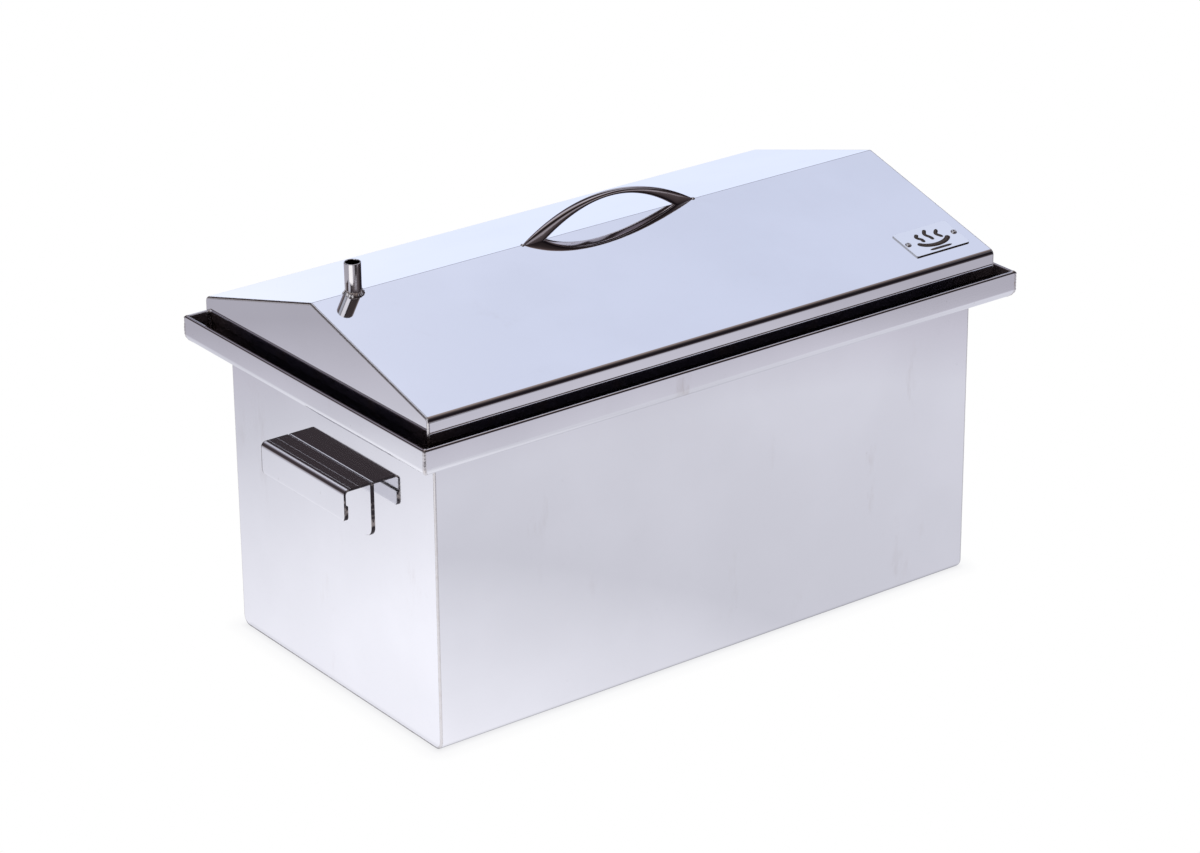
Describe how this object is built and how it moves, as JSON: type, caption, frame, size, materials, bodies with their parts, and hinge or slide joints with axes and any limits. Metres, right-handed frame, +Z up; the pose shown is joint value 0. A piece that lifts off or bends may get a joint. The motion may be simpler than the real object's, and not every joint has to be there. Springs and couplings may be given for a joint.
{
  "type": "stovetop hot smoker box",
  "caption": "Long polished steel hot smoker: open-topped box with a water-seal gutter, a gable-roofed lift-off lid with bow handle and smoke spigot, and lift-out racks over a drip tray.",
  "frame": {"origin": "middle of the box's underside, on the surface it stands on", "axes": "+X along the long side towards the end with the nameplate, -Y towards the front, +Z up"},
  "size_m": [0.5494, 0.3154, 0.3346],
  "materials": {
    "mirror_sheet": "mirror-polished stainless steel sheet with fine scratches and smudges",
    "weld_bead": "ground and polished weld bead, slightly uneven, with faint heat tint",
    "polished_handle": "mirror-polished stainless bar and tube",
    "nameplate_sheet": "bright sheet plate with a plain dark brown motif",
    "rivet_steel": "bright blind rivets",
    "rack_wire": "bright drawn stainless wire",
    "tray_sheet": "plain mill-finish stainless sheet"
  },
  "bodies": {
    "box": {"body_wrap": "mirror_sheet", "left_end_plate": "mirror_sheet", "right_end_plate": "mirror_sheet", "body_seam_welds": "weld_bead", "gutter_front": "mirror_sheet", "gutter_back": "mirror_sheet", "gutter_left": "mirror_sheet", "gutter_right": "mirror_sheet", "gutter_corner_welds": "weld_bead", "gutter_seam_welds": "weld_bead", "left_carry_handle": "mirror_sheet", "right_carry_handle": "mirror_sheet", "left_upper_ledge": "tray_sheet", "right_upper_ledge": "tray_sheet", "left_lower_ledge": "tray_sheet", "right_lower_ledge": "tray_sheet"},
    "lid": {"lid_roof": "mirror_sheet", "lid_gable_left": "mirror_sheet", "lid_gable_right": "mirror_sheet", "lid_seam_welds": "weld_bead", "lid_handle": "polished_handle", "lid_handle_welds": "weld_bead", "smoke_spigot": "polished_handle", "spigot_weld": "weld_bead", "nameplate": "nameplate_sheet", "nameplate_rivets": "rivet_steel"},
    "upper_rack": {"upper_rack_frame": "rack_wire", "upper_rack_wires": "rack_wire", "upper_rack_grips": "rack_wire"},
    "lower_rack": {"lower_rack_frame": "rack_wire", "lower_rack_wires": "rack_wire", "lower_rack_grips": "rack_wire"},
    "drip_tray": {"drip_tray_floor": "tray_sheet", "drip_tray_rim": "tray_sheet", "drip_tray_legs": "tray_sheet", "drip_tray_grips": "rack_wire"}
  },
  "joints": [
    {"name": "lid_lift", "type": "slide", "parent": "box", "child": "lid", "axis": [0, 0, 1], "range_m": [0, 0.5]},
    {"name": "upper_rack_lift", "type": "slide", "parent": "box", "child": "upper_rack", "axis": [0, 0, 1], "range_m": [0, 0.4]},
    {"name": "lower_rack_lift", "type": "slide", "parent": "box", "child": "lower_rack", "axis": [0, 0, 1], "range_m": [0, 0.34]},
    {"name": "drip_tray_lift", "type": "slide", "parent": "box", "child": "drip_tray", "axis": [0, 0, 1], "range_m": [0, 0.28]}
  ],
  "couplings": [
    {"joint": "upper_rack_lift", "follows": "lid_lift", "ratio": 0.8},
    {"joint": "lower_rack_lift", "follows": "lid_lift", "ratio": 0.68},
    {"joint": "drip_tray_lift", "follows": "lid_lift", "ratio": 0.56}
  ]
}
